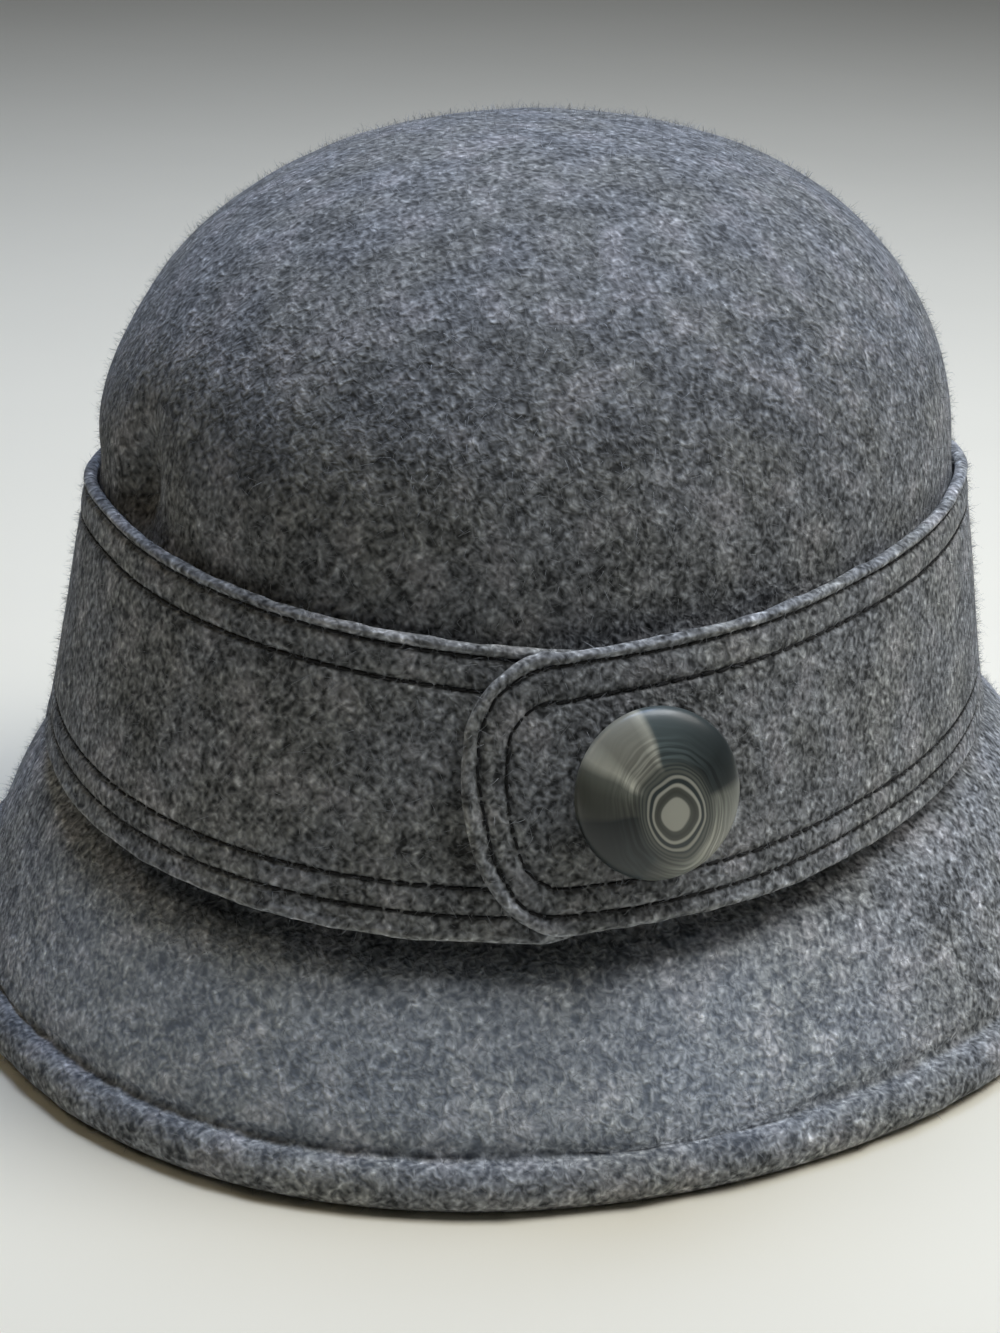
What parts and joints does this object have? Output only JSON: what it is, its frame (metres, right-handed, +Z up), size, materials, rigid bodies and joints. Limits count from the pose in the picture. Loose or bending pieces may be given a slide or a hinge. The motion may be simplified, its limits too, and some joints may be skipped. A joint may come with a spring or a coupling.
{
  "type": "cloche hat",
  "caption": "Bell-shaped felt cloche hat: rounded crown, down-turned brim with a puffy turned-under hem, lapped felt band with topstitching and a domed marbled button.",
  "frame": {"origin": "on the surface that the hat stands on, under the middle of the brim's outline", "axes": "+Z up through the crown, -Y the way the wearer faces, +X the wearer's left, where the tab and the button are"},
  "size_m": [0.2378, 0.2606, 0.1626],
  "materials": {
    "felt": "fuzzy wool felt, grey melange with light and dark fibres",
    "band_felt": "the same wool felt, pressed a little flatter",
    "button_resin": "polished resin, marbled in grey rings",
    "thread": "dark twisted sewing thread"
  },
  "bodies": {
    "root": {"crown": "felt", "brim": "felt", "band": "band_felt", "button": "button_resin"}
  },
  "joints": []
}
